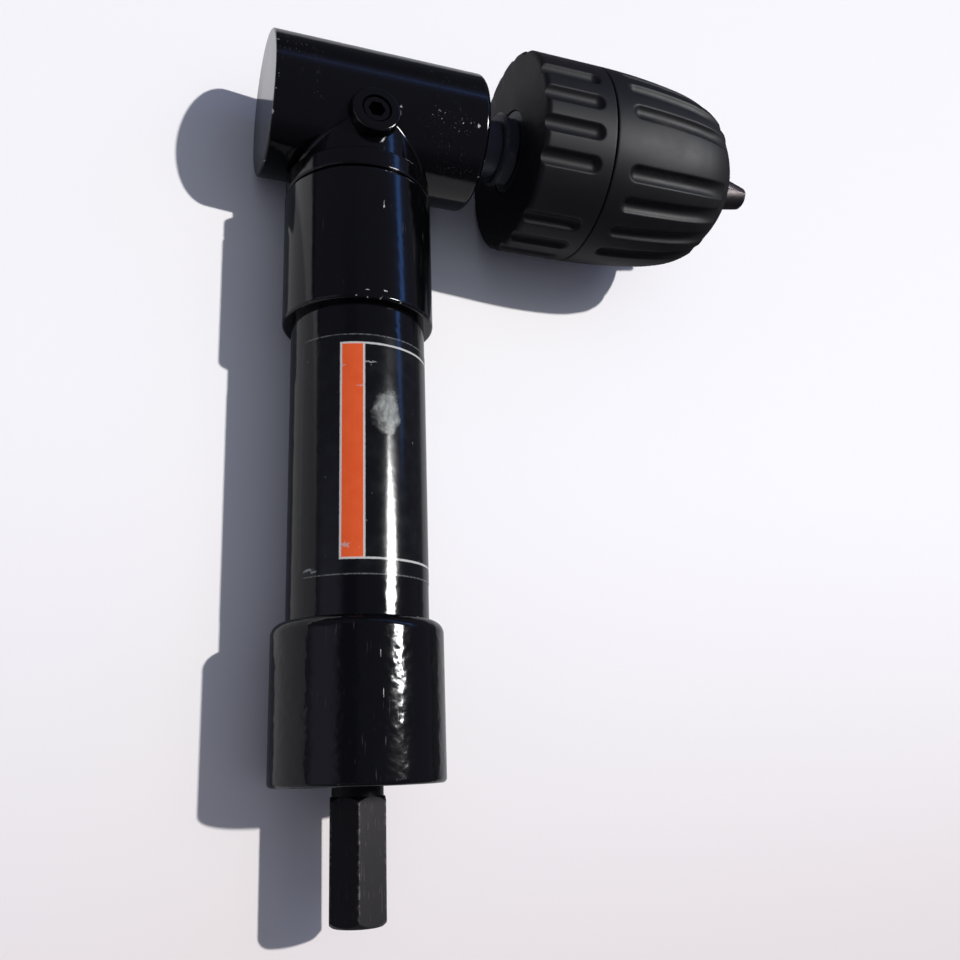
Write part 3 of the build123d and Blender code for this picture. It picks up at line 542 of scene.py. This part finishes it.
def decal_film(name):
    """Plain black film with an orange bar in a thin pale frame, worn and stained."""
    black = (0.0030, 0.0032, 0.0040)
    faded = (0.010, 0.0105, 0.012)
    orange = (0.72, 0.085, 0.018)
    light_orange = (0.84, 0.130, 0.035)
    pale_ink = (0.66, 0.66, 0.64)
    torn_edge = (0.40, 0.42, 0.42)
    scratched = (0.44, 0.45, 0.44)
    stained = (0.44, 0.48, 0.44)
    paint = new_paint(name, IOR=1.48)
    place = paint.place()
    x, y, z = paint.split(place)
    around = paint.math("ARCTAN2", x, z) * (180 / pi)
    cloud = paint.noise(place, 0.35, 4.0, 0.6)
    frame_mask, bar = film_print(paint, place, around, y)
    scratches, rim = film_wear(paint, place, around, y)
    stain, thick = film_stain(paint, place, around, y, cloud)
    film = paint.mix(paint.step(cloud, 0.4, 0.9), black, faded)
    colour = paint.mix(bar, film, paint.mix(cloud, orange, light_orange))
    colour = paint.mix(frame_mask * 0.80, colour, pale_ink)
    colour = paint.mix(rim * 0.30, colour, torn_edge)
    colour = paint.mix(scratches * 0.6, colour, scratched)
    colour = paint.mix(stain * thick * 0.52, colour, stained)
    paint.set("Base Color", colour)
    paint.set("Roughness", 0.10 + 0.10 * cloud + 0.25 * scratches + 0.30 * stain)
    waves = paint.noise(place, 0.5, 2.0, 0.5)
    paint.set("Normal", paint.bump(waves + scratches * 0.3, 0.022))
    return paint.owner


# Meshes

def surface(name, points, faces):
    """Object from points in metres and faces, smooth but for its creases."""
    mesh = bpy.data.meshes.new(name)
    mesh.from_pydata(points, [], faces)
    mesh.validate()
    mesh.shade_smooth()
    mesh.set_sharp_from_angle(angle=radians(crease_angle))
    piece = bpy.data.objects.new(name, mesh)
    bpy.context.scene.collection.objects.link(piece)
    return piece


def closed_loops(name, loops):
    """Closed surface through loops of points, joined in a ring, in millimetres."""
    across = len(loops[0])
    points = [Vector(point) * MM for loop in loops for point in loop]
    faces = []
    for row in range(len(loops)):
        ahead = (row + 1) % len(loops)
        for column in range(across):
            beside = (column + 1) % across
            faces.append((row * across + column, row * across + beside,
                          ahead * across + beside, ahead * across + column))
    return surface(name, points, faces)


def ease(value):
    """Smooth step from 0 to 1."""
    value = min(1.0, max(0.0, value))
    return value * value * (3 - 2 * value)


def steps(start, end, count):
    """Evenly spaced values, both ends included."""
    return [start + (end - start) * k / count for k in range(count + 1)]


def flute_cut(ahead, angle, radius, smooth_at):
    """Depth of the nearest flute, round in section, at a point on a sleeve.

    ahead is the distance past the centre of the flute's ball-shaped end, or less than 0 along its
    length.
    """
    pitch = 360 / flute_steps
    place = round((angle - smooth_at) / pitch)
    if place % flute_group == 0:
        return 0.0
    aside = radians(angle - smooth_at - place * pitch) * radius
    reach = hypot(aside, max(ahead, 0.0))
    half = flute_width / 2
    ball = (half ** 2 + flute_depth ** 2) / (2 * flute_depth)
    if reach < half:
        cut = sqrt(ball ** 2 - reach ** 2) - (ball - flute_depth)
    else:
        cut = (half - reach) * half / (ball - flute_depth)
    softened = (cut + sqrt(cut ** 2 + edge_softness ** 2)) / 2
    return max(0.0, softened - softness_cutoff)


def ring(station, radius_at):
    """Loop of points about the output axis; radius_at gives the radius at each angle."""
    loop = []
    for column in range(sleeve_columns):
        angle = 360 * column / sleeve_columns
        radius = radius_at(angle)
        loop.append((station, head_y + radius * cos(radians(angle)), radius * sin(radians(angle))))
    return loop


def plain_ring(station, radius):
    """Round loop of points about the output axis."""
    return ring(station, lambda angle: radius)


def quarter_round(inset, radius):
    """How far a rounded corner falls back, at a distance inside its end."""
    missing = radius - min(inset, radius)
    return radius - sqrt(radius ** 2 - missing ** 2)


def build_rear_sleeve():
    """Rear sleeve: short cup with flutes open at its back and rounded at their front ends."""
    back = rear_low.x
    length = rear_high.x - back
    inside = chuck_r - sleeve_wall
    stop = length - rear_flute_end - flute_width / 2

    def crown(station):
        corner = quarter_round(station, rear_round)
        return chuck_r - corner - quarter_round(length - station, rear_edge_round)

    def outer(station):
        def radius_at(angle):
            cut = flute_cut(station - stop, angle, chuck_r, rear_smooth_at)
            return min(crown(station), chuck_r - cut)
        return ring(back + station, radius_at)

    stations = [rear_round * (1 - cos(radians(a))) for a in steps(0, 90, 8)]
    stations += steps(rear_round, length - rear_edge_round, 58)[1:]
    stations += [length - rear_edge_round * (1 - sin(radians(a))) for a in steps(0, 90, 4)][1:]
    loops = [plain_ring(back, radius) for radius in (rear_hole_r, (rear_hole_r + chuck_r) / 2)]
    loops += [outer(station) for station in stations]
    loops += [plain_ring(back + length, inside),
              plain_ring(back + rear_floor, inside),
              plain_ring(back + rear_floor, rear_hole_r)]
    return closed_loops("rear_sleeve_fluted", loops)


def dome_arcs():
    """Two tangent arcs of the front sleeve's outline.

    Each is its centre's station, its centre's radius and its own radius.
    """
    long_r = (dome_start ** 2 + dome_drop ** 2) / (2 * dome_drop)
    knee_r = chuck_r - dome_drop
    length = front_high.x - front_low.x
    normal = (dome_start / long_r, (long_r - dome_drop) / long_r)
    reach = (length - dome_start, nose_r - knee_r)
    along_normal = reach[0] * normal[0] + reach[1] * normal[1]
    short_r = (reach[0] ** 2 + reach[1] ** 2) / (-2 * along_normal)
    long_arc = (0.0, chuck_r - long_r, long_r)
    short_arc = (dome_start - normal[0] * short_r, knee_r - normal[1] * short_r, short_r)
    return long_arc, short_arc


def build_front_sleeve():
    """Front sleeve: domed shell with groups of four soft-edged flutes that run to the nose."""
    back = front_low.x
    length = front_high.x - back
    inside = chuck_r - sleeve_wall
    long_arc, short_arc = dome_arcs()
    first = front_flute_start + flute_width / 2
    last = length - nose_band

    def crown(station):
        centre, height, arc = long_arc if station < dome_start else short_arc
        radius = height + sqrt(max(arc ** 2 - (station - centre) ** 2, 0.0))
        radius -= dome_trim * ease((station - dome_trim_from) / dome_trim_run)
        return radius - quarter_round(station, front_edge_round)

    def outer(station):
        base = crown(station)
        band = nose_step * ease(station - last + 0.5)
        fade = ease((station - 1.0) / 2.0)
        fade *= 1 - 0.5 * ease((station - last + flute_fade) / flute_fade)

        def radius_at(angle):
            cut = flute_cut(first - station, angle, base, front_smooth_at)
            return base - max(cut * fade, band)
        return ring(back + station, radius_at)

    stations = [front_edge_round * (1 - cos(radians(a))) for a in steps(0, 90, 4)]
    stations += steps(front_edge_round, length - nose_fine, 84)[1:]
    stations += steps(length - nose_fine, length - nose_lip, 16)[1:]
    loops = [outer(station) for station in stations]
    rim_r = crown(length - nose_lip) - nose_step
    inner_line = [
        (0.12, rim_r - 0.35), (0.0, rim_r - 0.8), (0.0, nose_hole_r + nose_lip),
        (nose_lip, nose_hole_r), (nose_wall, nose_hole_r), (shell_bore_to, shell_bore_r),
        (shell_bore_from, shell_bore_r), (shell_bore_from, inside), (length, inside)]
    loops += [plain_ring(back + length - inset, radius) for inset, radius in inner_line]
    return closed_loops("front_sleeve_fluted", loops)


def film_points(columns, rows):
    """Points of the film's outer layer and then of its inner one, with rounded corners."""
    points = []
    for layer in (tube_r + film_thickness, tube_r - film_thickness):
        for at in steps(film_start, film_end, rows):
            end_gap = min(at - film_start, film_end - at)
            trim = quarter_round(end_gap, film_corner)
            for angle in steps(film_from, film_to, columns):
                share = (angle - film_from) / (film_to - film_from)
                turned = angle + (1 - 2 * share) * trim / tube_degree
                point = (layer * sin(radians(turned)), at, layer * cos(radians(turned)))
                points.append(Vector(point) * MM)
    return points


def build_decal():
    """Thin film wrapped part of the way around the tube."""
    columns = 96
    rows = 60
    across = columns + 1
    under = across * (rows + 1)
    faces = []
    for row in range(rows):
        for column in range(columns):
            a = row * across + column
            faces.append((a, a + across, a + across + 1, a + 1))
            faces.append((under + a, under + a + 1, under + a + across + 1, under + a + across))
    for row in range(rows):
        for column, flip in ((0, 1), (columns, -1)):
            a = row * across + column
            faces.append((a, under + a, under + a + across, a + across)[::flip])
    for column in range(columns):
        for row, flip in ((0, -1), (rows, 1)):
            a = row * across + column
            faces.append((a, under + a, under + a + 1, a + 1)[::flip])
    return surface("tube_decal", film_points(columns, rows), faces)


# Dressing

def spots_on(axis, radius, spots):
    """Spots whose place and angle are turned into a point on a round.

    About x the angle turns from +Y towards +Z, and about y from +Z towards +X.
    """
    placed = []
    for station, angle, *sizes in spots:
        across = radius * cos(radians(angle))
        aside = radius * sin(radians(angle))
        point = (station, head_y + across, aside) if axis == "x" else (aside, station, across)
        placed.append((point, *sizes))
    return placed


def enamel_wear():
    """Each enamelled node's worn rims, wave height, chips and nicked areas, the last painted pale
    as a painted glint.
    """
    barrel_rims = [("x", head_low.x, barrel_r, 0.9),
                   ("x", head_high.x, barrel_r, 1.1),
                   ("y", head_y - flange_drop, flange_r, 0.5)]
    coupling_rims = [("y", coupling_low.y, coupling_r, 0.9),
                     ("y", coupling_high.y, coupling_r, 0.8)]
    cap_rims = [("y", cap_low.y, cap_r, 0.9),
                ("y", cap_high.y, cap_r - cap_shoulder, 0.9)]
    return {
        "head_housing": (barrel_rims, 0.022, spots_on("x", barrel_r, barrel_chips),
                         spots_on("x", barrel_r, barrel_nicks_glinting)),
        "coupling_sleeve": (coupling_rims, 0.018, spots_on("y", coupling_r, coupling_chips), []),
        "end_cap": (cap_rims, 0.100, spots_on("y", cap_r, cap_chips), []),
        "main_tube": ([("y", tube_high.y, tube_r, 0.5)], 0.045, [], []),
        "rear_plug": ([("x", head_low.x, rear_plug_r, 0.4)], 0.030, [], []),
        "grease_plug_screw": ([], 0.010, [], []),
    }


def dress_nodes():
    """Give every CAD node its finish."""
    any_way = (3.0, 3.0, 3.0)
    turned = (0.4, 5.0, 5.0)
    blued = (0.105, 0.110, 0.135)
    blackened = (0.016, 0.015, 0.017)
    finishes = {
        "black_oxide_steel": black_oxide("shank_black_oxide", "y", shank_edge_r, blackened, 0.40),
        "black_plastic": black_plastic("sleeve_plastic"),
        "bright_steel": steel("ground_steel", (0.56, 0.55, 0.53), 0.22, any_way),
        "chuck_steel": steel("jaw_steel", (0.092, 0.080, 0.081), 0.34, turned),
        "bronze": bronze("bush_bronze"),
        "cage_plastic": rubber("cage_plastic_brown", (0.030, 0.018, 0.010)),
        "seal_rubber": rubber("seal_rubber_black", (0.012, 0.012, 0.012)),
        "felt": felt("seal_felt"),
    }
    spindle_oxide = black_oxide("spindle_black_oxide", "x", collar_edge_r, blued, 0.38)
    own = {"output_spindle": spindle_oxide, "chuck_body": spindle_oxide}
    for name, wear in enamel_wear().items():
        own[name] = black_enamel(f"enamel_{name}", *wear)
    for name, node in frame["nodes"].items():
        for place in node.material_slots:
            place.material = own[name] if name in own else finishes[place.material.name]
    return finishes


finishes = dress_nodes()

rear_sleeve = build_rear_sleeve()
rear_sleeve.data.materials.append(finishes["black_plastic"])
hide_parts("chuck_rear_sleeve")
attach(rear_sleeve, "spindle and chuck")

front_sleeve = build_front_sleeve()
front_sleeve.data.materials.append(finishes["black_plastic"])
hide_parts("chuck_front_sleeve")
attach(front_sleeve, "chuck front sleeve")

decal = build_decal()
decal.data.materials.append(decal_film("decal_film"))
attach(decal, "gear head")


# Studio

def table_plane():
    """Slope along X, slope along Y and height of the plane that carries cap, barrel and chuck.

    The two slopes depend on each other, so they are worked out in a few rounds.
    """
    slope_x = 0.0
    slope_y = 0.0
    touch = rear_low.x + rear_round
    for _ in range(8):
        tilt = sqrt(1 + slope_y ** 2)
        slope_x = -(chuck_r - barrel_r) * tilt / (touch - head_low.x)
        height_head = -barrel_r * tilt + slope_x * -head_low.x
        height_cap = -cap_r * sqrt(1 + slope_x ** 2)
        slope_y = (height_head - height_cap) / (head_y - cap_low.y)
    return slope_x, slope_y, height_cap - slope_y * cap_low.y


def table_paint():
    """White table top, with painted shade: darker and warmer towards the shank's side.

    Gloss surfaces mirror it dimmer, brighter behind the barrel, and dark beyond the lit patch. To
    the camera it fades into the white backdrop with the distance.
    """
    white = (0.945, 0.925, 0.930)
    # colour of the painted shade on the table towards the shank's side
    warm = (0.76, 0.685, 0.670)
    mirrored_white = (0.45, 0.445, 0.45)
    mirrored_bright = (0.80, 0.79, 0.80)
    mirrored_dark = (0.04, 0.04, 0.05)
    paint = new_paint("table_white", Roughness=0.6, Specular_IOR_Level=0.2)
    x, y, z = paint.split(paint.place())
    # painted shade: the table is painted darker and warmer towards the shank's side
    nearer_painted_shade = paint.step(y, 100, -75) * paint.step(y, -600, -150)
    behind_barrel = paint.step(x, -19, -22) * paint.step(y, 148, 156)
    unlit = paint.largest(paint.step(x, 60, 108), paint.step(y, 240, 290))
    mirrored = paint.mix(behind_barrel, mirrored_white, mirrored_bright)
    mirrored = paint.mix(unlit, mirrored, mirrored_dark)
    seen = paint.mix(nearer_painted_shade, white, warm)
    paint.set("Base Color", paint.mix(paint.ray("Is Glossy Ray"), seen, mirrored))
    away = paint.length(x - table_centre[0], y - table_centre[1])
    faded = paint.ray("Is Camera Ray") * paint.step(away, backdrop_from, backdrop_to)
    paint.set("Alpha", 1 - faded)
    return paint.owner


def build_table():
    """Table under the three points that the attachment rests on."""
    slope_x, slope_y, height = table_plane()
    corners = [(x * table_reach, y * table_reach) for x, y in ((-1, -1), (1, -1), (1, 1), (-1, 1))]
    points = [Vector((x, y, height + slope_x * x + slope_y * y)) * MM for x, y in corners]
    table = surface("table", points, [(0, 1, 2, 3)])
    table.data.materials.append(table_paint())


def build_world():
    """Dim room with a paler wall to the left and a narrow band of blue sky; white to the camera.

    x, y and z are the parts of a ray's direction, and turn its angle from +Z towards +X.
    """
    white = (0.90, 0.89, 0.91)
    room_white = (1.0, 1.0, 1.38)
    sky_haze = (0.16, 0.20, 0.42)
    pale_sky = (0.19, 0.23, 0.50)
    deep_sky = (0.37, 0.92, 2.50)
    world = bpy.data.worlds.new("studio")
    bpy.context.scene.world = world
    paint = Paint(world, "Background")
    x, y, z = paint.split(paint.node("ShaderNodeTexCoord", {}, {}, "Generated"))
    turn = paint.math("ARCTAN2", x, z) * (180 / pi)
    off_level = abs(y)
    wall = paint.band(turn, -76, -42, 7) * paint.step(y, 0.38, 0.15) * paint.step(y, -0.7, -0.4)
    gap = paint.band(turn, -36, -14, 6) * paint.step(off_level, 0.6, 0.3)
    ends = paint.step(off_level, 0.72, 0.97)
    level = 0.105 + 0.155 * wall - 0.045 * gap - 0.060 * ends
    beside = abs(sky_across[0] * x + sky_across[1] * y + sky_across[2] * z)
    reach = paint.band(x, 0.10, 0.88, 0.08) * paint.step(y, 0.22, 0.40)
    sky = paint.mix(paint.step(x, 0.10, 0.75), pale_sky, deep_sky)
    room = paint.mix(level, (0, 0, 0), room_white)
    room = paint.mix(paint.step(beside, 0.22, 0.04) * reach * 0.6, room, sky_haze)
    room = paint.mix(paint.step(beside, 0.060, 0.020) * reach, room, sky)
    paint.set("Color", paint.mix(paint.ray("Is Camera Ray"), room, white))
    paint.set("Strength", 1.0)


def aim(thing, place, target, roll=0.0):
    """Stand a lamp or camera at a place, looking at a target, in millimetres and degrees."""
    forward = (Vector(target) - Vector(place)).normalized()
    right = forward.cross(Vector((0, 1, 0))).normalized()
    up = right.cross(forward)
    turn = Matrix((right, up, -forward)).transposed().to_4x4()
    roll_turn = Matrix.Rotation(radians(roll), 4, "Z")
    thing.matrix_world = Matrix.Translation(Vector(place) * MM) @ turn @ roll_turn


def add_softbox(name, place, target, size, radiance, colour=(1, 1, 1), roll=0.0):
    """Rectangular area lamp with a given radiance."""
    lamp = bpy.data.lights.new(name, "AREA")
    lamp.shape = "RECTANGLE"
    lamp.size = size[0] * MM
    lamp.size_y = size[1] * MM
    lamp.energy = radiance * pi * lamp.size * lamp.size_y
    lamp.color = colour
    softbox = bpy.data.objects.new(name, lamp)
    bpy.context.scene.collection.objects.link(softbox)
    aim(softbox, place, target, roll)
    return softbox


def build_lamps():
    """Small far sun for the shadow, a card that only gloss mirrors, and a cool fill from above."""
    warm = (1.0, 0.99, 0.97)
    cool = (0.84, 0.97, 1.10)
    under_fill = (fill_at[0], fill_at[1], 0)
    sun = add_softbox("low_sun", sun_at, lit_point, size=(120, 120), radiance=6900.0, colour=warm)
    sun.visible_glossy = False
    card = add_softbox("gloss_card", card_at, lit_point, size=(360, 310), radiance=59.0,
                       roll=card_roll)
    card.visible_diffuse = False
    fill = add_softbox("overhead_fill", fill_at, under_fill, size=(1500, 1500), radiance=0.32,
                       colour=cool)
    fill.visible_glossy = False


def build_camera():
    """Camera at the photograph's angle."""
    camera = bpy.data.cameras.new("camera")
    camera.sensor_width = camera_sensor
    camera.lens = camera_lens
    camera.clip_start = 0.01
    stand = bpy.data.objects.new("camera", camera)
    bpy.context.scene.collection.objects.link(stand)
    aim(stand, camera_at, camera_target, camera_roll)
    bpy.context.scene.camera = stand


for item in list(bpy.data.objects):
    if item.type in ("LIGHT", "CAMERA"):
        bpy.data.objects.remove(item)

build_table()
build_world()
build_lamps()
build_camera()

bpy.context.scene.view_settings.view_transform = "Standard"
